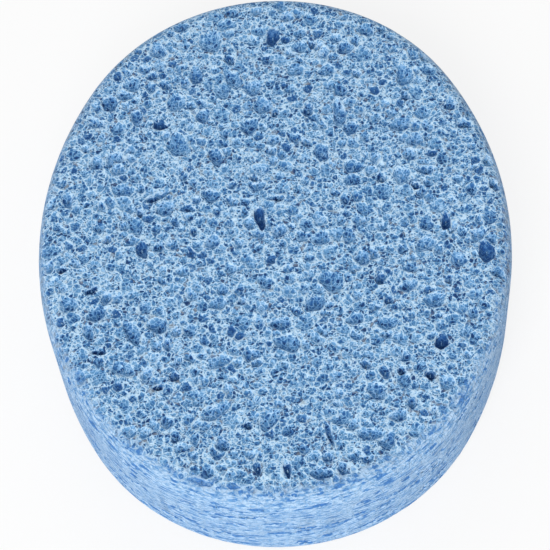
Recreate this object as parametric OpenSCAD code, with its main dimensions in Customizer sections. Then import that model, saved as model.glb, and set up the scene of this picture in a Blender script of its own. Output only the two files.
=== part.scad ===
// Oval bath sponge, cut by a die from a sheet of foamed cellulose.
// The two broad faces are knife cuts through the foam, so they show round open pores.
// The die squeezed the wall, so its pores are flattened into level slots,
// and the rim between a cut face and the wall is rounded and closed.

/* [Block] */
// Width across the short way of the oval
sponge_width = 110; // [90:1:120]
// Length along the long way of the oval
sponge_length = 136; // [124:1:160]
// Thickness from cut face to cut face
sponge_thickness = 28; // [24:1:45]
// Radius of the oval's two end arcs, as a share of half its width
end_fullness = 0.91; // [0.7:0.01:0.95]
// Radius of the softened rim between a cut face and the wall
rim_radius = 4.5; // [2:0.5:6]

/* [Pores of the cut faces] */
// Radius of the largest scattered pore
pore_radius_max = 2.2; // [1.5:0.1:3]
// Radius of the smallest scattered pore
pore_radius_min = 0.8; // [0.7:0.1:1.2]
// Cellulose left standing between two pores
pore_wall = 0.35; // [0.2:0.05:1]
// Places tried for a scattered pore on each cut face
pore_tries = 240; // [100:20:500]
// Share of a pore's radius by which its centre stands proud of the cut
pore_lift = 0.3; // [0.1:0.05:0.6]

/* [Slots of the wall] */
// Rows of slots up the wall
slot_rows = 4; // [2:1:4]
// Slots in each row
slots_per_row = 24; // [10:1:24]
// Length of the longest slot along the wall
slot_length = 7; // [6:0.5:9]
// Height of a slot at its mouth
slot_height = 0.9; // [0.4:0.1:1.2]
// Depth of a slot into the wall
slot_depth = 1; // [0.5:0.1:1]

/* [Hidden] */
$fn = 36;
foam_blue = [0.52, 0.69, 0.87];
outline_points = 72;
rim_steps = 4;
half_width = sponge_width / 2;
half_length = sponge_length / 2;
end_radius = end_fullness * half_width;

// The oval is four tangent arcs: the ends' centres lie on Y, and the sides' centres on X.
end_centre = half_length - end_radius;
side_radius = (pow(half_width, 2) + pow(end_centre, 2) - pow(end_radius, 2))
    / (2 * (half_width - end_radius));
side_centre = side_radius - half_width;
join_angle = atan2(end_centre, side_centre);

// Pores too wide to leave to chance, on the upper face: [x, y, width, length, turn of the length from +Y].
wide_pores = [
    [-3, 4, 2.2, 6.5, 5], [40, 1, 1.8, 4, 0], [49, -7.5, 3.2, 4.5, 0], [37, -30, 3, 3, 0],
    [-49, -7.5, 2.4, 2.4, 0], [-42, -13, 2, 3.5, -60], [-38.5, -15.5, 2.8, 3.6, 0], [1, 55, 3.4, 5.5, 0],
    [-9.5, 49, 2.4, 4, 10], [10.5, 52.5, 2, 3, 0], [-26.5, 31, 3, 3.8, 90], [-32, 33.5, 3.2, 4.4, 0],
    [9, 33.5, 2.8, 4, 0], [21, 43, 2.2, 2.6, 90], [-30.5, -3, 3.2, 4.6, 0], [-18.5, 1, 1.8, 2.8, 0],
    [25.5, 13.5, 2.8, 2.8, 0], [33.5, 11, 2.4, 2.4, 0], [36, 15, 2.6, 5, 90], [25.5, -19, 2.2, 2.6, 0],
    [-26.5, -38.5, 1.6, 2.6, 90], [24, -37, 2.4, 3.6, 10], [34, -38, 2.6, 2.6, 0], [2.5, -29, 4.6, 6, 80],
    [-12.5, -53, 3.2, 3.2, 0], [11, -51.5, 1.5, 6, 12], [1.7, -59.5, 1.8, 4.2, 0], [9, -60.5, 2.4, 4, 80],
    [-27, 11, 2.4, 6, -65], [-35, 13, 3.6, 5, 90], [-13, 21, 3, 6, 10], [-4, 15, 2, 2.6, 90],
    [1.3, 9.3, 2.2, 3, 90], [17, 8, 2.4, 3, 0], [35, -5, 4, 5, 90], [17.5, -2, 3.4, 4.4, 0],
    [-14, -2, 3.8, 3.8, 0], [8.3, 24.5, 2.6, 2.6, 0], [24, 56, 4, 4, 0], [-20.5, 42.5, 2.4, 4, 0],
    [-35, 40, 3, 4.4, 90], [16.5, 32, 3.6, 7.5, 8], [17, 38.5, 3.6, 3.6, 0], [-13, -18, 3.4, 4.4, 90],
    [-34.5, -33.5, 3.6, 6, 80], [-13, -33, 3.2, 6, -60], [-14, -45, 3.6, 7, -65], [20, -52, 3.4, 6, 80],
    [29.5, -45, 2.2, 3, 0], [44.5, -23.5, 2.6, 3.2, 0], [-42.5, -24, 2.8, 4.4, 10], [-22.5, -25, 2.4, 2.8, 0],
    [-14, 54.5, 5, 6, 0], [-8.5, 43, 4, 5, 40], [-22.5, 37, 4.6, 4.6, 0], [-22, 25, 5, 6.5, 0],
    [32.5, 42, 4, 5, 20], [14, 44.5, 3.6, 3.6, 0], [31, 28, 4, 5, 90], [34, 23.5, 4, 4, 0],
    [43, 33, 3.2, 3.2, 0], [46, 27.5, 3, 3.4, 0], [13, -13.5, 5, 6, 60], [36, -19.5, 4, 5, 90],
    [24, -13.5, 2.8, 2.8, 0], [1, -24, 3, 3, 0], [25, -25, 3, 5.5, 90], [26.5, -48, 3.4, 3.4, 0],
    [-2, -47.5, 3.8, 6, -30], [-32.5, -24.5, 3.6, 6, 20], [-24.5, -28, 1.8, 4, 0], [-23, -35.5, 2.4, 2.4, 0]
];

// A number from 0 to 1 that looks random and is the same at every build.
function chance(n) = let (s = sin(n * 78.233 + 12.9898) * 43758.5453) s - floor(s);

// Is a point on the oval once the oval is drawn in by inset?
function in_oval(p, inset) =
    abs(p[1]) > end_centre + abs(p[0]) * end_centre / side_centre
        ? norm([p[0], abs(p[1]) - end_centre]) < end_radius - inset
        : norm([abs(p[0]) + side_centre, p[1]]) < side_radius - inset;

// A wide pore as a string of bubbles [x, y, radius] along its length.
function bubbles(pore) =
    let (
        radius = pore[2] / 2,
        reach = (pore[3] - pore[2]) / 2,
        count = reach < 0.3 ? 1 : ceil(1 + 2 * reach / pore[2])
    )
    [for (i = [0 : count - 1])
        let (along = count == 1 ? 0 : reach * (2 * i / (count - 1) - 1))
        [pore[0] - along * sin(pore[4]), pore[1] + along * cos(pore[4]), radius]];

function is_clear(p, kept, i = 0) =
    i == len(kept) ? true :
    norm([p[0] - kept[i][0], p[1] - kept[i][1]]) < p[2] + kept[i][2] + pore_wall ? false :
    is_clear(p, kept, i + 1);

// Scattered pores are tried from the widest to the smallest, and kept where they clear the rest.
function scattered(kept, seed, k = 0) =
    k == pore_tries ? kept :
    let (
        p = [
            half_width * (2 * chance(seed + 3 * k) - 1),
            half_length * (2 * chance(seed + 3 * k + 1) - 1),
            pore_radius_min + (pore_radius_max - pore_radius_min) * pow(1 - k / pore_tries, 3)
        ],
        fits = in_oval(p, rim_radius + p[2] + pore_wall) && is_clear(p, kept)
    )
    scattered(fits ? concat(kept, [p]) : kept, seed, k + 1);

upper_bubbles = [for (pore = wide_pores) for (p = bubbles(pore)) if (in_oval(p, rim_radius)) p];
upper_pores = scattered(upper_bubbles, seed = 11);
lower_pores = scattered([], seed = 5003);

// The way out of the wall, as an angle, a share of the way round the oval from +X.
function way_out(share) =
    let (
        side_run = side_radius * join_angle,
        end_run = end_radius * (90 - join_angle),
        quarter = floor(4 * share),
        falling = quarter % 2,
        run = abs(4 * share - quarter - falling) * (side_run + end_run),
        turn = run < side_run ? run / side_radius : join_angle + (run - side_run) / end_radius
    )
    90 * (quarter + falling) + (1 - 2 * falling) * turn;

// The point of the wall whose way out is at an angle.
function wall_point(angle) =
    abs(sin(angle)) > sin(join_angle)
        ? [end_radius * cos(angle), sign(sin(angle)) * end_centre + end_radius * sin(angle)]
        : [side_radius * cos(angle) - sign(cos(angle)) * side_centre, side_radius * sin(angle)];

// The rings of the block's skin, from the foot to the head: [inset from the wall, height].
rim_turns = [for (i = [0 : rim_steps]) 90 * i / rim_steps];
rings = concat(
    [for (turn = rim_turns) rim_radius * [1 - sin(turn), 1 - cos(turn)]],
    [for (turn = rim_turns) [rim_radius * (1 - cos(turn)), sponge_thickness - rim_radius * (1 - sin(turn))]]
);

// The oval block as the die leaves it, before any pore is open: one skin through the rings.
module cut_block() {
    ways_out = [for (i = [0 : outline_points - 1]) way_out(i / outline_points)];
    points = [for (ring = rings, way = ways_out)
        concat(wall_point(way) - ring[0] * [cos(way), sin(way)], ring[1])];
    wall = [for (j = [0 : len(rings) - 2], i = [0 : outline_points - 1])
        let (next = (i + 1) % outline_points, lower = j * outline_points, upper = lower + outline_points)
        [lower + i, upper + i, upper + next, lower + next]];
    foot = [for (i = [0 : outline_points - 1]) i];
    head = [for (i = [1 : outline_points]) len(points) - i];
    polyhedron(points, concat([foot, head], wall));
}

// Each pore is part of a round bubble, opened by the knife.
module open_pores(pores) {
    for (p = pores)
        translate([p[0], p[1], pore_lift * p[2]])
            sphere(p[2] / sqrt(1 - pow(pore_lift, 2)));
}

// A bubble that the die pressed flat: a lens with its axis upright.
module slot(length) {
    radius = pow(length / 2, 2) / (2 * slot_depth) + slot_depth / 2;
    translate([radius - slot_depth, 0, 0])
        for (half = [0, 1])
            mirror([0, 0, half])
                cylinder(h = slot_height, r1 = radius, r2 = radius - 2 * slot_depth, $fn = 72);
}

module wall_slots() {
    foot = rim_radius + slot_height;
    rise = (sponge_thickness - 2 * foot) / slot_rows;
    for (row = [0 : slot_rows - 1], i = [0 : slots_per_row - 1]) {
        seed = 9001 + 3 * (row * slots_per_row + i);
        angle = way_out((i + 0.5 * (row % 2) + 0.4 * chance(seed)) / slots_per_row % 1);
        translate(concat(wall_point(angle), foot + rise * (row + 0.2 + 0.6 * chance(seed + 1))))
            rotate(angle)
                slot(slot_length * (0.6 + 0.4 * chance(seed + 2)));
    }
}

module sponge() {
    color(foam_blue)
        difference() {
            cut_block();
            translate([0, 0, sponge_thickness])
                open_pores(upper_pores);
            mirror([0, 0, 1])
                open_pores(lower_pores);
            wall_slots();
        }
}

sponge();
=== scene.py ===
import math

import bmesh
import bpy
import numpy as np
from mathutils import Matrix, Quaternion, Vector, kdtree


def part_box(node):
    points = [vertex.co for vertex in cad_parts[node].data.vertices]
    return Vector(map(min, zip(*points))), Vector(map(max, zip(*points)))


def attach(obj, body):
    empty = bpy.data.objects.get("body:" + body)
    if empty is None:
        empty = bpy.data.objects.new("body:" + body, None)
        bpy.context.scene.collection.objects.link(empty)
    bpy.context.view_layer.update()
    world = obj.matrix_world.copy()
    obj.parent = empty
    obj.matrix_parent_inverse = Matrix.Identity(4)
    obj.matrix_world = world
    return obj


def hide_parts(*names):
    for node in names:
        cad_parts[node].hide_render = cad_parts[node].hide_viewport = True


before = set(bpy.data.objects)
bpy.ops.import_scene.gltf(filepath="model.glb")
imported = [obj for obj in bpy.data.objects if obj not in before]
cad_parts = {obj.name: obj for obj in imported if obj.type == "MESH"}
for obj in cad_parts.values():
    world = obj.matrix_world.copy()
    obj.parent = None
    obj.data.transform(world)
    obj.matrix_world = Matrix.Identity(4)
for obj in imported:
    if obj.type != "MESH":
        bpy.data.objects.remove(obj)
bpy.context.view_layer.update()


# The sponge, which is one piece of foamed cellulose: wood pulp blown up in a mould, set and dyed sky blue.
# An oval steel rule die stamps it out of a sheet while it is soft, so its edges are drawn in to a round rim.
# The two flat faces are cut through the foam and show its open bubbles; the wall is pressed by the blade.

MM = 0.001
block_low, block_high = (Vector(corner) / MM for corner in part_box("sponge"))
half_width = (block_high.x - block_low.x) / 2
half_length = (block_high.y - block_low.y) / 2
thickness = block_high.z - block_low.z
rim_radius = 4.5

# The oval is four tangent arcs: the ends' centres lie on Y, and the sides' centres on X.
end_fullness = 0.91
end_radius = end_fullness * half_width
end_centre = half_length - end_radius
side_radius = (half_width**2 + end_centre**2 - end_radius**2) / (2 * (half_width - end_radius))
side_centre = side_radius - half_width
join_angle = math.atan2(end_centre, side_centre)
quarter_round = side_radius * join_angle + end_radius * (math.pi / 2 - join_angle)

# The block before it is bent to shape: two hexagons of small triangles with a wall of small squares between.
SIDES = 6
CELLS_ACROSS = 210
WALL_ROWS = 92
bm = bmesh.new()
for level in (0, 1):
    disc = bmesh.ops.create_circle(bm, cap_ends=True, cap_tris=True, segments=SIDES, radius=1)
    bmesh.ops.translate(bm, verts=disc["verts"], vec=(0, 0, level))
bmesh.ops.subdivide_edges(bm, edges=bm.edges[:], cuts=CELLS_ACROSS - 1, use_grid_fill=True)
wall = bmesh.ops.bridge_loops(bm, edges=[e for e in bm.edges if e.is_boundary])
risers = [e for e in wall["edges"] if abs(e.verts[0].co.z - e.verts[1].co.z) > 0.5]
bmesh.ops.subdivide_edges(bm, edges=risers, cuts=WALL_ROWS - 1, use_grid_fill=True)
bmesh.ops.recalc_face_normals(bm, faces=bm.faces[:])
block = bpy.data.meshes.new("foam_block")
bm.to_mesh(block)
bm.free()


def way_out(share):
    """The direction out of the wall, a share of the way round the oval from +X."""
    quarter = np.floor(4 * share)
    falling = quarter % 2
    run = np.abs(4 * share - quarter - falling) * quarter_round
    side_run = side_radius * join_angle
    turn = np.where(run < side_run, run / side_radius, join_angle + (run - side_run) / end_radius)
    return math.pi / 2 * (quarter + falling) + (1 - 2 * falling) * turn


def wall_point(way):
    """The outline's point, in millimetres, at each direction out of the wall."""
    on_end = np.abs(np.sin(way)) > math.sin(join_angle)
    radius = np.where(on_end, end_radius, side_radius)
    x = radius * np.cos(way) - np.where(on_end, 0, side_centre * np.sign(np.cos(way)))
    y = radius * np.sin(way) + np.where(on_end, end_centre * np.sign(np.sin(way)), 0)
    return np.column_stack([x, y])


def inland(x, y):
    """How far a place lies inside the outline, in millimetres, seen from above."""
    on_end = np.abs(y) * side_centre > end_centre * (np.abs(x) + side_centre)
    from_end = end_radius - np.hypot(x, np.abs(y) - end_centre)
    from_side = side_radius - np.hypot(np.abs(x) + side_centre, y)
    return np.where(on_end, from_end, from_side)


def margin(y):
    """The width of the closed rim, which the blade smeared most at the front end."""
    narrow, wide = 1.0, 4.0
    widens_from, widens_over = 15, half_length - 20
    return narrow + (wide - narrow) * np.clip((-y - widens_from) / widens_over, 0, 1)


# Each hexagon is eased out to the oval, and the wall between them is bent to its rounded profile.
bare = np.empty(3 * len(block.vertices), dtype=np.float32)
block.vertices.foreach_get("co", bare)
bare = bare.reshape(-1, 3).astype(float)
from_top_corner = (np.arctan2(bare[:, 1], bare[:, 0]) - math.pi / 2) % (2 * math.pi)
sixth = 2 * math.pi / SIDES
sector = np.minimum(np.floor(from_top_corner / sixth), SIDES - 1)
past_corner = from_top_corner - sector * sixth
near, far = np.sin(sixth - past_corner), np.sin(past_corner)
reach = np.hypot(bare[:, 0], bare[:, 1]) * (near + far) / math.sin(sixth)
way = way_out(((sector + far / (near + far)) / SIDES + 0.25) % 1)

rim_run = math.pi / 2 * rim_radius
profile_run = 2 * rim_run + thickness - 2 * rim_radius
run = (1 - bare[:, 2]) * profile_run
lean_up = np.clip((rim_run - run) / rim_radius, 0, None)
lean_down = np.clip((run - profile_run + rim_run) / rim_radius, 0, None)
lean = lean_up - lean_down
inset = rim_radius * (1 - np.cos(lean))
height = np.clip(thickness - rim_radius - (run - rim_run), rim_radius, thickness - rim_radius)
height = height + rim_radius * np.sin(lean)
outward = np.column_stack([np.cos(way), np.sin(way)])
skin = np.column_stack([reach[:, None] * (wall_point(way) - inset[:, None] * outward), height])
normal = np.column_stack([outward * np.cos(lean)[:, None], np.sin(lean)])
past_margin = inland(skin[:, 0], skin[:, 1]) - margin(skin[:, 1])

near_skin = kdtree.KDTree(len(skin))
for i, point in enumerate(skin):
    near_skin.insert(point, i)
near_skin.balance()

# The open bubbles. Where two meet, a thin web of foam is left between them, so each point of the skin keeps
# how far inside its bubbles' rims it lies, in six sets, and bubbles that meet are kept in different sets.
# A rim is followed out to CLEAR, and the edge of its bowl is eased over RIM_EASE. Most bubbles are cut so
# that PLAIN_CUT of a half sphere is left. Skin that leans less than FACE_LEAN belongs to a face.
OPEN_SETS = 6
CLEAR = 1.2
WEB = 0.12
RIM_EASE = 0.4
PLAIN_CUT = 0.9
FACE_LEAN = 0.3
TINY = 1e-12
rims = np.full((len(skin), OPEN_SETS), -CLEAR)
depth = np.zeros(len(skin))
tint_and_shade = np.zeros(len(skin))
chance = np.random.default_rng(41)


def open_bubble(place, turn, half, deep, fullness, tone, clearance=None):
    """Opens a bubble, of half sizes along and across, up to the webs of those that are open already.

    Fullness is how much of a half sphere is left below the cut. A bubble in the wall lies with its length
    level. With a clearance, none opens where another one's rim is nearer than that.
    """
    _, i, _ = near_skin.find(place)
    if clearance is not None and rims[i].max() > -clearance:
        return
    up = normal[i]
    leaning = math.hypot(up[0], up[1])
    if leaning < FACE_LEAN:
        along = np.array([-math.sin(turn), math.cos(turn), 0.0])
        across = np.array([math.cos(turn), math.sin(turn), 0.0])
    else:
        along = np.array([-up[1], up[0], 0.0]) / leaning
        across = np.cross(up, along)
    found = near_skin.find_range(skin[i], max(half) + CLEAR)
    near_by = np.fromiter((f[1] for f in found), dtype=int, count=len(found))
    offset = skin[near_by] - skin[i]
    u, v = offset @ along, offset @ across
    share_out = np.hypot(u / half[0], v / half[1])
    around = np.arctan2(v / half[1], u / half[0])
    uneven = 1
    for lobes, share in ((2, 0.09), (3, 0.08), (5, 0.05)):
        uneven = uneven + share * np.cos(lobes * around + chance.uniform(0, 2 * math.pi))
    share_uneven = share_out * uneven
    steepness = share_out / np.sqrt((u / half[0]**2)**2 + (v / half[1]**2)**2 + TINY)
    inside = np.clip((1 - share_uneven) * steepness, -CLEAR, CLEAR)
    inside = np.minimum(inside, -rims[near_by].max(axis=1) - WEB)
    edge_height = math.sqrt(1 - fullness**2)
    bowl = (np.sqrt(1 - np.clip(share_uneven * fullness, 0, 1)**2) - edge_height) / (1 - edge_height)
    bowl = bowl * np.sqrt(np.clip(inside / RIM_EASE, 0, 1))
    opened = inside > 0
    depth[near_by[opened]] += deep * bowl[opened]
    # Each opened point keeps the bubble's tone, which holds its painted shade.
    tint_and_shade[near_by[opened]] = tone
    freest = int(np.argmin(rims[near_by].max(axis=0)))
    rims[near_by, freest] = np.maximum(rims[near_by, freest], inside)


# The widest pores of the upper face: x, y, width, length, turn of the length from +Y in degrees, depth.
# Each one's bowl takes a share of that depth, enough for it to look open, and a deeper pore is painted
# darker, as painted shade.
wide_pores = [
    (-3, 4, 2.6, 6.8, 5, 4.5), (40, 1, 2.6, 4.6, 0, 4), (48.6, -7.5, 4.4, 5.4, 0, 3.5),
    (37, -30, 3.6, 3.8, 0, 4.5), (-49, -7.5, 2.4, 2.4, 0, 3), (-42, -13, 2, 3.5, -60, 3),
    (-38.5, -15.5, 2.8, 3.6, 0, 2), (1, 55, 3.4, 5.5, 0, 3.5), (-9.5, 49, 2.4, 4, 10, 2),
    (10.5, 52.5, 2, 3, 0, 2.5), (-26.5, 31, 3, 3.8, 90, 3.5), (-32, 33.5, 3.2, 4.4, 0, 2.5),
    (9, 33.5, 2.8, 4, 0, 3), (21, 43, 2.2, 2.6, 90, 2), (-30.5, -3, 3.2, 4.6, 0, 3),
    (-18.5, 1, 1.8, 2.8, 0, 2.5), (25.5, 13.5, 2.8, 2.8, 0, 2), (33.5, 11, 2.4, 2.4, 0, 3),
    (36, 15, 2.6, 5, 90, 2), (25.5, -19, 2.2, 2.6, 0, 2.5), (-26.5, -38.5, 1.6, 2.6, 90, 4),
    (24, -37, 2.4, 3.6, 10, 2.5), (34, -38, 2.6, 2.6, 0, 3.5), (2.5, -29, 4.6, 6, 80, 2.5),
    (-12.5, -53, 3.2, 3.6, 0, 2.5), (11, -51.5, 1.5, 6, 12, 3), (1.7, -59.5, 1.8, 4.2, 0, 3.5),
    (9, -60.8, 3.2, 5, 80, 2.8), (-27, 11, 2.4, 6, -65, 3), (-35, 13, 3.6, 5, 90, 1.5),
    (-13, 21, 3, 6, 10, 2), (-4, 15, 2, 2.6, 90, 2.5), (1.3, 9.3, 2.2, 3, 90, 2),
    (17, 8, 2.4, 3, 0, 1.8), (35, -5, 4, 5, 90, 1.8), (17.5, -2, 3.4, 4.4, 0, 1.5),
    (-14, -2, 3.8, 3.8, 0, 1.8), (8.3, 24.5, 2.6, 2.6, 0, 2), (24, 56, 4, 4.6, 0, 1.8),
    (-20.5, 42.5, 2.4, 4, 0, 1.5), (-35, 40, 3, 4.4, 90, 1.8), (16.5, 32, 3.6, 7.5, 8, 2),
    (17, 38.5, 3.6, 4, 0, 1.8), (-13, -18, 3.4, 4.4, 90, 1.5), (-34.5, -33.5, 3.6, 6, 80, 1.6),
    (-13, -33, 3.2, 6, -60, 1.5), (-14, -45, 3.6, 7, -65, 2), (20, -52, 3.4, 6, 80, 1.8),
    (29.5, -45, 2.2, 3, 0, 2.5), (44.5, -23.5, 2.6, 3.2, 0, 1.5), (-42.5, -24, 2.8, 4.4, 10, 1.5),
    (-14, 54.5, 5.5, 7, 0, 1.8), (-8.5, 43, 4, 6, 40, 1.6), (-22.5, 37, 5, 5, 0, 1.7),
    (-22, 25, 5.5, 7, 0, 1.6), (32.5, 42, 4.5, 6, 20, 2), (14, 44.5, 3.6, 4.4, 90, 1.5),
    (31, 28, 4, 5.5, 90, 2), (34, 23.5, 4, 4, 0, 1.8), (43, 33, 3.2, 3.6, 90, 2.5),
    (46, 27.5, 3, 4, 90, 2), (13, -13.5, 5, 7, 60, 1.8), (36, -19.5, 4, 5.5, 90, 1.8),
    (24, -13.5, 2.8, 3.2, 0, 3), (1, -24, 3.6, 5, 90, 2), (25, -25, 3, 5.5, 90, 1.4),
    (26.5, -48, 3.4, 4, 90, 1.8), (-17, -62, 1.8, 6, 68, 1.2), (13.7, -59.8, 2.4, 3, 0, 2.6),
    (-4.7, -59, 1.9, 3.4, 0, 2.8), (10.6, -57, 2.6, 2.8, 0, 2.4), (-48, 11, 2.6, 4.5, 10, 2.4),
    (-40, -29, 2, 3.6, 80, 2.2), (-31, 7, 1.6, 3, 20, 2.2), (-38.6, 0, 2.2, 2.6, 0, 2.2),
    (-6.7, -48.6, 2, 2.6, 0, 2.4), (20, -35, 2.4, 3, 20, 2.2), (32.5, 36, 2.4, 3, 0, 2.2),
    (-25, 42.3, 2.6, 3, 60, 2.2), (1.2, 33, 2, 2.6, 0, 2.2), (39.5, -14.5, 2, 2.4, 0, 2.2),
    (27.5, -36.8, 2, 2.6, 0, 2.2), (-44, -35, 3, 4, 20, 1.5), (-33, -49, 3.2, 4, 60, 1.2),
    (-2, -47.5, 3.8, 7, -30, 1.8), (-32.5, -24.5, 3.6, 7, 20, 2), (-24.5, -28, 1.8, 4, 0, 2),
    (-23, -36, 2.6, 2.6, 0, 3), (-22.5, -25, 2.4, 2.8, 0, 1.5),
]
SHALLOW_PORE = 1.6
DEEP_PORE = 2.2
DEEP_CUT = 0.97
for x, y, width, length, turn, deep in wide_pores:
    cut, bowl_share = (DEEP_CUT, 0.6) if deep > DEEP_PORE else (PLAIN_CUT, 0.8)
    # A pore's tone is painted shade, darker the deeper it is, with a random part.
    tone = 0.10 - 0.18 * max(0, deep - SHALLOW_PORE) + chance.uniform(-0.08, 0.08)
    half = (length / 2, width / 2)
    open_bubble((x, y, thickness), math.radians(turn), half, deep * bowl_share, cut, tone)

# The bubbles between them on both faces: spacing, least and greatest radius. They lie in loose rows and
# keep off the closed rim. A fifth of those with a radius under WIDEST_DARK stand for holes that lead further
# down, so they are painted dark, as painted shade.
bubble_sizes = [(5.4, 1.1, 2.4), (3.0, 0.95, 1.7), (1.8, 0.6, 1.1), (1.1, 0.42, 0.75)]
ROW_SPACING = 0.87
LOOSENESS = 0.48
WIDE = 1.2
WIDEST_DARK = 1.4
DARK_SHARE = 0.2
for face_height in (thickness, 0):
    for spacing, least, greatest in bubble_sizes:
        places = []
        for row, y in enumerate(np.arange(-half_length, half_length, ROW_SPACING * spacing)):
            for x in np.arange(-half_width, half_width, spacing) + spacing / 2 * (row % 2):
                px, py = (x, y) + chance.uniform(-LOOSENESS, LOOSENESS, 2) * spacing
                if inland(px, py) > margin(py) * chance.uniform(0.3, 1.2) + 0.3 * greatest:
                    places.append((px, py, face_height))
        for k in chance.permutation(len(places)):
            px, py, _ = places[k]
            radius = least + (greatest - least) * chance.random()**2
            deepest, palest = (0.8, 0.25) if radius > WIDE else (0.55, 0.15)
            if radius > WIDE and inland(px, py) < margin(py) + 0.7 * radius:
                continue
            stretch = chance.uniform(0.85, 1.2)
            half = (radius * stretch, radius / stretch)
            cut_height = chance.uniform(0.25, 1.0) * deepest
            is_dark = radius < WIDEST_DARK and chance.random() < DARK_SHARE
            # A hole's dark tone is painted shade; the others' tones differ at random.
            tone = chance.uniform(-0.36, -0.14) if is_dark else chance.uniform(-0.12, palest)
            turn = chance.uniform(0, 2 * math.pi)
            clearance = min(0.35 * radius, CLEAR - 0.05)
            open_bubble(places[k], turn, half, radius * cut_height, PLAIN_CUT, tone, clearance)

# The wall's bubbles, which the blade pressed to level slots. They fade out towards the rims.
SLOTS_TRIED = 420
SLOT_CLEARANCE = 0.2
EDGE = 1.5
FADE_HEIGHT = 6
for _ in range(SLOTS_TRIED):
    x, y = wall_point(way_out(np.array([chance.random()])))[0]
    z = chance.uniform(EDGE, thickness - EDGE)
    fade = min(1, min(z, thickness - z) / FADE_HEIGHT)
    half_slot = (chance.uniform(1.4, 3.6) * (0.5 + 0.5 * fade), chance.uniform(0.45, 0.75))
    deep = chance.uniform(0.4, 1.0) * fade
    # A slot's tone darkens it, as painted shade in the slot.
    tone = chance.uniform(-0.30, -0.1)
    open_bubble((x, y, z), 0, half_slot, deep, PLAIN_CUT, tone, SLOT_CLEARANCE)

# The crest of the foam: how far each point stands above the foam close around it, which is evened out.
# The material paints light on the crests and shade in the hollows from it.
EVENING_STEPS = 12
edges = np.empty(2 * len(block.edges), dtype=np.int32)
block.edges.foreach_get("vertices", edges)
one, other = edges[::2], edges[1::2]
neighbours = np.bincount(edges, minlength=len(skin))
evened = depth
for _ in range(EVENING_STEPS):
    around = np.bincount(one, evened[other], len(skin)) + np.bincount(other, evened[one], len(skin))
    evened = (evened + around / neighbours) / 2
crest = evened - depth

block.vertices.foreach_set("co", (skin - normal * depth[:, None]).astype(np.float32).ravel())
for name, values in (("crest", crest), ("past_margin", past_margin), ("tint_and_shade", tint_and_shade)):
    block.attributes.new(name, "FLOAT", "POINT").data.foreach_set("value", values.astype(np.float32))
for name, values in (("first_rims", rims[:, :3]), ("other_rims", rims[:, 3:])):
    flat_values = values.astype(np.float32).ravel()
    block.attributes.new(name, "FLOAT_VECTOR", "POINT").data.foreach_set("vector", flat_values)
block.update()
foam = bpy.data.objects.new("cellulose_foam", block)
bpy.context.collection.objects.link(foam)

# The skin is thinned, least on the upper face and at the rims of the slots, and most where it is plain. The
# weights are heeded so strongly that those of the spared skin lie only just under 1.
MOST_TRIANGLES = 196000
HEED = 20
on_upper = skin[:, 2] > thickness - 0.5 * rim_radius
on_lower = skin[:, 2] < 0.5 * rim_radius
at_rim = np.abs(rims.max(axis=1)) < RIM_EASE
plainness = foam.vertex_groups.new(name="plainness")
for where, weight in ((~at_rim, 1.0), (at_rim & on_lower, 0.995), (at_rim & ~on_lower | on_upper, 0.99)):
    plainness.add(np.flatnonzero(where).tolist(), weight, "REPLACE")
thinned = foam.modifiers.new("thinned", "DECIMATE")
thinned.ratio = MOST_TRIANGLES / (2 * len(block.vertices) - 4)
thinned.vertex_group = plainness.name
thinned.vertex_group_factor = HEED
foam_mesh = bpy.data.meshes.new_from_object(foam.evaluated_get(bpy.context.evaluated_depsgraph_get()))
foam.modifiers.remove(thinned)
foam.data = foam_mesh
foam_mesh.polygons.foreach_set("use_smooth", np.ones(len(foam_mesh.polygons), dtype=bool))

# The flat map of the skin: the two faces side by side, and above them the wall in a back and a front half.
# The skin parts half-way round each rim. Only the places are laid out; the colours come from the nodes. Each
# half of the wall is laid out along the outline, which is measured a little past both ends of the half.
GAP = 3.0
OUTLINE_POINTS = 400
PAST_HALF = 0.3
half_way_round = rim_radius * (1 - math.cos(math.pi / 4))
corners = np.empty(len(foam_mesh.loops), dtype=np.int32)
foam_mesh.loops.foreach_get("vertex_index", corners)
points = np.empty(3 * len(foam_mesh.vertices), dtype=np.float32)
foam_mesh.vertices.foreach_get("co", points)
middles = np.empty(3 * len(foam_mesh.polygons), dtype=np.float32)
foam_mesh.polygons.foreach_get("center", middles)
corner_counts = np.empty(len(foam_mesh.polygons), dtype=np.int32)
foam_mesh.polygons.foreach_get("loop_total", corner_counts)
x, y, z = points.reshape(-1, 3)[corners].T
middle = np.repeat(middles.reshape(-1, 3), corner_counts, axis=0)
side = np.where(middle[:, 1] > 0, 1, -1)
facing = np.where(middle[:, 2] > thickness / 2, 1, -1)
outline = wall_point(np.linspace(-PAST_HALF, math.pi + PAST_HALF, OUTLINE_POINTS))
outline_turn = np.unwrap(np.arctan2(outline[:, 1], outline[:, 0]))
outline_run = np.concatenate([[0], np.cumsum(np.hypot(*np.diff(outline, axis=0).T))])
turn = (np.arctan2(side * y, side * x) + math.pi / 2) % (2 * math.pi) - math.pi / 2
wall_u = GAP + np.interp(turn, outline_turn, outline_run) - np.interp(0, outline_turn, outline_run)
wall_v = 2 * half_length + 2 * GAP + z + (thickness + GAP) * (side < 0)
face_u = np.where(facing > 0, GAP + half_width, 2 * GAP + 3 * half_width) + facing * x
face_v = GAP + half_length + y
on_face = inland(middle[:, 0], middle[:, 1]) > half_way_round
map_width = 4 * half_width + 3 * GAP
map_height = 2 * half_length + 2 * thickness + 4 * GAP
flat_u = np.where(on_face, face_u, wall_u) / map_width
flat_v = np.where(on_face, face_v, wall_v) / map_height
flat = np.column_stack([flat_u, flat_v]).astype(np.float32)
foam_mesh.uv_layers.new(name="OFBake").data.foreach_set("uv", flat.ravel())
foam_mesh.transform(Matrix.Scale(MM, 4))

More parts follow.
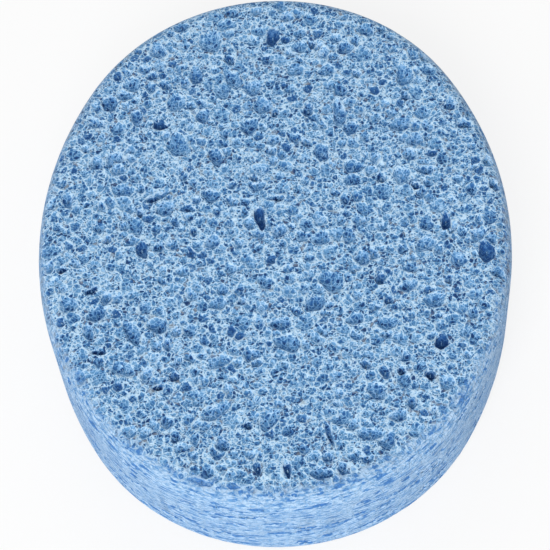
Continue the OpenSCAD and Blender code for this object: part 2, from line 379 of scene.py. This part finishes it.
# Foamed cellulose, dyed through and dried: matt, with fine bubbles in the webs between the open ones. A cut
# web's edge is pale, partly its pale fibres and partly painted highlight; deep bubbles, pits and holes carry
# painted shade in a dark, strong blue; and dry places turn grey.
material = bpy.data.materials.new("foamed_cellulose")
material.use_nodes = True
tree = material.node_tree
tree.nodes.clear()


def linear(hex_colour):
    """A colour written in sRGB hex, as the linear colour that a node takes."""
    values = [int(hex_colour[i:i + 2], 16) / 255 for i in (1, 3, 5)]
    return tuple(v / 12.92 if v <= 0.04045 else ((v + 0.055) / 1.055)**2.4 for v in values) + (1,)


def add(kind, links=(), **settings):
    """Adds a node with its settings, and links its inputs or sets them."""
    node = tree.nodes.new(kind)
    for name, value in settings.items():
        setattr(node, name, value)
    for socket, value in dict(links).items():
        if isinstance(value, bpy.types.Node):
            value = value.outputs[0]
        if isinstance(value, bpy.types.NodeSocket):
            tree.links.new(value, node.inputs[socket])
        else:
            node.inputs[socket].default_value = value
    return node


smooth = {"interpolation_type": "SMOOTHSTEP"}
crest = add("ShaderNodeAttribute", attribute_name="crest").outputs["Fac"]
past_margin = add("ShaderNodeAttribute", attribute_name="past_margin").outputs["Fac"]
tint_and_shade = add("ShaderNodeAttribute", attribute_name="tint_and_shade").outputs["Fac"]
first_rims = add("ShaderNodeAttribute", attribute_name="first_rims").outputs["Vector"]
other_rims = add("ShaderNodeAttribute", attribute_name="other_rims").outputs["Vector"]
place = add("ShaderNodeTexCoord").outputs["Object"]
in_mm = add("ShaderNodeVectorMath", {0: place, 1: (1 / MM,) * 3}, operation="MULTIPLY")

# Nothing in foam runs true: every line wanders by some tenths of a millimetre over a millimetre or two.
WANDERS_PER_MM = 0.7
RIM_WANDER = 1.6
wander = add("ShaderNodeTexNoise", {"Vector": in_mm, "Scale": WANDERS_PER_MM, "Detail": 1.0,
                                    "Roughness": 0.4})
wander = add("ShaderNodeVectorMath", {0: wander.outputs["Color"], 1: (0.5, 0.5, 0.5)}, operation="SUBTRACT")
wandering = add("ShaderNodeSeparateXYZ", {0: wander})
warped = add("ShaderNodeVectorMath", {0: wander, 1: in_mm}, operation="ADD")
shift = add("ShaderNodeVectorMath", {0: wander, 1: (RIM_WANDER,) * 3}, operation="MULTIPLY")

# How far this point is from the nearest rim of a bubble, and how far inside a bubble it lies.
first = add("ShaderNodeVectorMath", {0: first_rims, 1: shift}, operation="ADD")
second = add("ShaderNodeVectorMath", {0: other_rims, 1: shift}, operation="ADD")
furthest = add("ShaderNodeVectorMath", {0: first, 1: second}, operation="MAXIMUM")
furthest = add("ShaderNodeSeparateXYZ", {0: furthest})
within = add("ShaderNodeMath", {0: furthest.outputs[0], 1: furthest.outputs[1]}, operation="MAXIMUM")
within = add("ShaderNodeMath", {0: within, 1: furthest.outputs[2]}, operation="MAXIMUM")
first = add("ShaderNodeVectorMath", {0: first}, operation="ABSOLUTE")
second = add("ShaderNodeVectorMath", {0: second}, operation="ABSOLUTE")
nearest = add("ShaderNodeVectorMath", {0: first, 1: second}, operation="MINIMUM")
nearest = add("ShaderNodeSeparateXYZ", {0: nearest})
to_rim = add("ShaderNodeMath", {0: nearest.outputs[0], 1: nearest.outputs[1]}, operation="MINIMUM")
to_rim = add("ShaderNodeMath", {0: to_rim, 1: nearest.outputs[2]}, operation="MINIMUM")
# A pale line along each rim: partly the cut web's pale fibres, partly painted highlight.
pale_rim_and_highlight = add("ShaderNodeMapRange", {"Value": to_rim, "From Min": 0.04, "From Max": 0.22, "To Min": 1.0,
                                      "To Max": 0.0}, **smooth)
opened = add("ShaderNodeMapRange", {"Value": within, "From Min": 0.0, "From Max": 0.2}, **smooth)

# Fine bubbles: their width and their webs' in millimetres, then how much their webs, their own tints and
# their pits change the tone. The real ones go down to 0.1 mm, so the finest here are drawn as coarse as
# they need to be to show.
# Their webs are drawn pale, partly pale fibres and partly painted highlight, and their pits dark, as painted
# shade.
fine_bubbles = [
    (2.0, 0.20, 0.26, 0.20, 0.12),
    (1.05, 0.17, 0.68, 0.46, 0.32),
]
pattern = 0.0
pits = []
for width, web_width, web_gain, own_gain, pit_gain in fine_bubbles:
    scale = {"Vector": warped, "Scale": 1 / width}
    to_web = add("ShaderNodeTexVoronoi", scale, feature="DISTANCE_TO_EDGE")
    bubble = add("ShaderNodeTexVoronoi", scale, feature="F1")
    own = add("ShaderNodeSeparateColor", {"Color": bubble.outputs["Color"]})
    web = add("ShaderNodeMapRange", {"Value": to_web, "From Min": 0.0, "From Max": web_width / width,
                                     "To Min": 1.0, "To Max": 0.0}, **smooth)
    open_pit = add("ShaderNodeMapRange", {"Value": own, "From Min": 0.5, "From Max": 0.9}, **smooth)
    pit = add("ShaderNodeMapRange", {"Value": bubble, "From Min": 0.15, "From Max": 0.5, "To Min": 1.0,
                                     "To Max": 0.0}, **smooth)
    pit = add("ShaderNodeMath", {0: pit, 1: open_pit}, operation="MULTIPLY")
    pattern = add("ShaderNodeMath", {0: web, 1: web_gain, 2: pattern}, operation="MULTIPLY_ADD")
    pattern = add("ShaderNodeMath", {0: own, 1: -own_gain, 2: pattern}, operation="MULTIPLY_ADD")
    pattern = add("ShaderNodeMath", {0: pit, 1: -pit_gain, 2: pattern}, operation="MULTIPLY_ADD")
    pits.append(pit)

# The pits of the wider ones show in the relief as well.
PIT_RELIEF = 0.3
widest = fine_bubbles[0][0]
relief = add("ShaderNodeMath", {0: pits[0], 1: -PIT_RELIEF * widest}, operation="MULTIPLY")

# Pin holes through the webs, painted dark as painted shade in them, and pale specks where the foam closed
# again.
PIN_SPACING = 0.55
PIN_GAIN = 0.95
pin = add("ShaderNodeTexVoronoi", {"Vector": in_mm, "Scale": 1 / PIN_SPACING}, feature="F1")
own = add("ShaderNodeSeparateColor", {"Color": pin.outputs["Color"]}).outputs["Green"]
open_pin = add("ShaderNodeMapRange", {"Value": own, "From Min": 0.45, "From Max": 0.95, "To Min": -0.25,
                                      "To Max": 1.0}, **smooth)
pin = add("ShaderNodeMapRange", {"Value": pin, "From Min": 0.15, "From Max": 0.5, "To Min": 1.0,
                                 "To Max": 0.0}, **smooth)
pin = add("ShaderNodeMath", {0: pin, 1: open_pin}, operation="MULTIPLY")
pattern = add("ShaderNodeMath", {0: pin, 1: -PIN_GAIN, 2: pattern}, operation="MULTIPLY_ADD")

# The cut faces: foam between the bubbles, and calmer floors in them, each with its bubble's own tint, which
# holds a random tone and painted shade. A tone runs from 0, the darkest painted shade, to 1, the palest
# webs, and the pattern is added to a middle one.
FOAM_TONE = 0.42
FLOOR_TONE = 0.51
FLOOR_CALM = 0.6
TINT_GAIN = 0.6
CUT_RIM_GAIN = 0.48
foam_tone = add("ShaderNodeMath", {0: pattern, 1: FOAM_TONE}, operation="ADD")
floor_tone = add("ShaderNodeMath", {0: pattern, 1: FLOOR_CALM, 2: FLOOR_TONE}, operation="MULTIPLY_ADD")
floor_tone = add("ShaderNodeMath", {0: tint_and_shade, 1: TINT_GAIN, 2: floor_tone}, operation="MULTIPLY_ADD")
# Painted shade: a floor darkens further in from its rim, where its bowl is deeper.
bowl_shade = add("ShaderNodeMapRange", {"Value": within, "From Min": 0.1, "From Max": 1.0, "To Min": 0.05,
                                  "To Max": -0.08}, **smooth)
floor_tone = add("ShaderNodeMath", {0: floor_tone, 1: bowl_shade}, operation="ADD")
cut_tone = add("ShaderNodeMix", {"Factor": opened, 2: foam_tone, 3: floor_tone})
cut_tone = add("ShaderNodeMath", {0: pale_rim_and_highlight, 1: CUT_RIM_GAIN, 2: cut_tone}, operation="MULTIPLY_ADD")
# Painted light and shade: foam standing above the foam around it is lighter, and foam sunk below it darker.
crest_light_and_shade = add("ShaderNodeMapRange", {"Value": crest, "From Min": -0.8, "From Max": 0.45, "To Min": -0.10,
                                    "To Max": 0.07}, **smooth)
cut_tone = add("ShaderNodeMath", {0: cut_tone, 1: crest_light_and_shade}, operation="ADD")

# The wall: bubbles pressed flat, so its slots, streaks and grain are drawn out level. The painted slots have
# their length, the share of them that stays closed, and how much they change the tone.
FLATTENED = 6
painted_slots = [(6, 0.4, -0.6), (3.2, 0.3, -0.5)]
STREAK_LENGTH = 2.2
GRAIN_LENGTH = 1.2
WALL_RIM_GAIN = 0.12
OPENED_SHADE = 0.5
levelled = add("ShaderNodeVectorMath", {0: in_mm, 1: (1, 1, FLATTENED), 2: shift}, operation="MULTIPLY_ADD")
slots = 0.0
# An open slot darkens the wall, as painted shade in the slot.
for length, rarity, gain in painted_slots:
    slot = add("ShaderNodeTexVoronoi", {"Vector": levelled, "Scale": 1 / length}, feature="F1")
    own = add("ShaderNodeSeparateColor", {"Color": slot.outputs["Color"]})
    open_slot = add("ShaderNodeMapRange", {"Value": own, "From Min": rarity, "From Max": rarity + 0.2,
                                           "To Max": gain}, **smooth)
    slot = add("ShaderNodeMapRange", {"Value": slot, "From Min": 0.24, "From Max": 0.42, "To Min": 1.0,
                                      "To Max": 0.0}, **smooth)
    slots = add("ShaderNodeMath", {0: slot, 1: open_slot, 2: slots}, operation="MULTIPLY_ADD")
streak = add("ShaderNodeTexNoise", {"Vector": levelled, "Scale": 1 / STREAK_LENGTH, "Detail": 3.0,
                                    "Roughness": 0.6})
streak = add("ShaderNodeMapRange", {"Value": streak, "From Min": 0.36, "From Max": 0.66, "To Min": 0.88,
                                    "To Max": 0.44}, **smooth)
grain = add("ShaderNodeTexNoise", {"Vector": levelled, "Scale": 1 / GRAIN_LENGTH, "Detail": 2.0})
grain = add("ShaderNodeMapRange", {"Value": grain, "From Min": 0.38, "From Max": 0.62, "To Min": -0.30,
                                   "To Max": 0.30}, **smooth)
wall_tone = add("ShaderNodeMath", {0: streak, 1: grain}, operation="ADD")
wall_tone = add("ShaderNodeMath", {0: slots, 1: wall_tone}, operation="ADD")
wall_tone = add("ShaderNodeMath", {0: pale_rim_and_highlight, 1: WALL_RIM_GAIN, 2: wall_tone}, operation="MULTIPLY_ADD")
# Opened bubbles in the wall are darker by their tone and more, as painted shade in them.
opened_tone = add("ShaderNodeMath", {0: tint_and_shade, 1: OPENED_SHADE}, operation="SUBTRACT")
wall_tone = add("ShaderNodeMath", {0: opened, 1: opened_tone, 2: wall_tone}, operation="MULTIPLY_ADD")

# The colours of the tones: the cut foam's darken to a strong blue for painted shade; the wall's are more
# even.
cut_colours = [
    (0.0, "#0e3a70"), (0.2, "#2c65a2"), (0.4, "#548cbe"),
    (0.6, "#79abd9"), (0.8, "#9ac7ee"), (1.0, "#c6e5fe"),
]
wall_colours = [(0.0, "#457fc4"), (0.3, "#6c9fd4"), (0.6, "#94bae0"), (1.0, "#b6d4f3")]
ramps = []
for tone, colours in ((cut_tone, cut_colours), (wall_tone, wall_colours)):
    ramp = add("ShaderNodeValToRGB", {"Fac": tone})
    stops = ramp.color_ramp.elements
    stops[1].color = linear(colours[-1][1])
    stops[0].color = linear(colours[0][1])
    for position, colour in colours[1:-1]:
        stops.new(position).color = linear(colour)
    ramps.append(ramp)
cut_colour, wall_colour = ramps

# Painted shade in the deep bubbles, in a dark, strong blue, and grey where the foam between them has dried.
deep_shade_blue = linear("#1d5a9e")
dry_grey = linear("#b9c3c6")
deep_shade_share = add("ShaderNodeMapRange", {"Value": tint_and_shade, "From Min": -0.32, "From Max": -0.04, "To Min": 0.55,
                                  "To Max": 0.0}, **smooth)
deep_shade_share = add("ShaderNodeMath", {0: opened, 1: deep_shade_share}, operation="MULTIPLY")
cut_colour = add("ShaderNodeMix", {"Factor": deep_shade_share, 6: cut_colour, 7: deep_shade_blue}, data_type="RGBA").outputs[2]
dry = add("ShaderNodeMapRange", {"Value": wandering.outputs["Z"], "From Min": -0.12, "From Max": 0.15,
                                 "To Max": 0.5}, **smooth)
closed = add("ShaderNodeMapRange", {"Value": within, "From Min": -0.4, "From Max": 0.0, "To Min": 1.0,
                                    "To Max": 0.0}, **smooth)
dry = add("ShaderNodeMath", {0: dry, 1: closed}, operation="MULTIPLY")
cut_colour = add("ShaderNodeMix", {"Factor": dry, 6: cut_colour, 7: dry_grey}, data_type="RGBA").outputs[2]

# The blade's smear ends in a ragged line some millimetres in from the outline.
RAGGED = 6.0
aside = wandering.outputs["Y"]
ragged = add("ShaderNodeMath", {0: aside, 1: RAGGED, 2: past_margin}, operation="MULTIPLY_ADD")
on_cut = add("ShaderNodeMapRange", {"Value": ragged, "From Min": -1.5, "From Max": 1.5}, **smooth)
colour = add("ShaderNodeMix", {"Factor": on_cut, 6: wall_colour, 7: cut_colour}, data_type="RGBA").outputs[2]

# The fine pattern stands in a low relief, and the dry foam is matt all over.
PATTERN_RELIEF = 0.6
relief = add("ShaderNodeMath", {0: pattern, 1: PATTERN_RELIEF, 2: relief}, operation="MULTIPLY_ADD")
bump = add("ShaderNodeBump", {"Height": relief, "Distance": 0.5 * MM, "Strength": 0.6})
shader = add("ShaderNodeBsdfPrincipled", {"Base Color": colour, "Roughness": 0.9, "IOR": 1.47,
                                          "Normal": bump})
add("ShaderNodeOutputMaterial", {"Surface": shader})
foam_mesh.materials.clear()
foam_mesh.materials.append(material)

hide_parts("sponge")
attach(foam, "root")


# The floor: a plain white studio table, which the camera sees as white but for the sponge's shadow. It lies
# a tenth of a millimetre low, clear of the skin, which stands out nearly that far here and there.

FLOOR_DROP = 0.1
table = bpy.data.meshes.new("studio_floor")
bm = bmesh.new()
dropped = Matrix.Translation((0, 0, -FLOOR_DROP * MM))
bmesh.ops.create_grid(bm, x_segments=1, y_segments=1, size=3, matrix=dropped)
bm.to_mesh(table)
bm.free()
floor = bpy.data.objects.new("studio_floor", table)
bpy.context.collection.objects.link(floor)

# White laminate, matt. To the camera it is mostly plain white, so only a shadow shows on it.
WHITE_SHARE = 0.8
material = bpy.data.materials.new("white_laminate")
material.use_nodes = True
tree = material.node_tree
tree.nodes.clear()
seen = add("ShaderNodeLightPath").outputs["Is Camera Ray"]
share = add("ShaderNodeMath", {0: seen, 1: WHITE_SHARE}, operation="MULTIPLY")
matt = add("ShaderNodeBsdfDiffuse", {"Color": linear("#f3f3f3")})
white = add("ShaderNodeEmission", {"Color": linear("#ffffff"), "Strength": 1.0})
surface = add("ShaderNodeMixShader", {0: share, 1: matt, 2: white})
add("ShaderNodeOutputMaterial", {"Surface": surface})
table.materials.append(material)


# The light: a white room all round, a square soft box at the front on the left, and a weaker one behind,
# which keeps the far rim from going dark. Each box has its watts and where it stands.

world = bpy.data.worlds.new("studio")
bpy.context.scene.world = world
world.use_nodes = True
tree = world.node_tree
tree.nodes.clear()
seen = add("ShaderNodeLightPath").outputs["Is Camera Ray"]
strength = add("ShaderNodeMapRange", {"Value": seen, "To Min": 0.45, "To Max": 1.0})
room = add("ShaderNodeBackground", {"Color": linear("#ffffff"), "Strength": strength})
add("ShaderNodeOutputWorld", {"Surface": room})

soft_boxes = [("soft_box", 24, (-0.28, -1.35, 1.16)), ("back_soft_box", 6, (-0.2, 1.4, 1.1))]
for name, watts, stand in soft_boxes:
    soft_box = bpy.data.objects.new(name, bpy.data.lights.new(name, "AREA"))
    soft_box.data.size = 1.0
    soft_box.data.energy = watts
    soft_box.location = stand
    soft_box.rotation_euler = (-soft_box.location).to_track_quat("-Z", "Y").to_euler()
    bpy.context.collection.objects.link(soft_box)


# The camera: a long lens that looks steeply down on the sponge's front end, from a little to the right, and
# is rolled a little about its line of sight.

azimuth, elevation, roll = (math.radians(angle) for angle in (3.6146, 61.084, -5.6809))
distance = 0.48105
aim = Vector((-0.000353, -0.003645, 0.014))
level_part = math.cos(elevation)
back = Vector((math.sin(azimuth) * level_part, -math.cos(azimuth) * level_part, math.sin(elevation)))
camera = bpy.data.objects.new("camera", bpy.data.cameras.new("camera"))
bpy.context.collection.objects.link(camera)
camera.data.sensor_width = 36
camera.data.lens = 133.297
camera.location = aim + distance * back
camera.rotation_mode = "QUATERNION"
camera.rotation_quaternion = (-back).to_track_quat("-Z", "Y") @ Quaternion((0, 0, 1), roll)
bpy.context.scene.camera = camera
bpy.context.scene.view_settings.view_transform = "Standard"
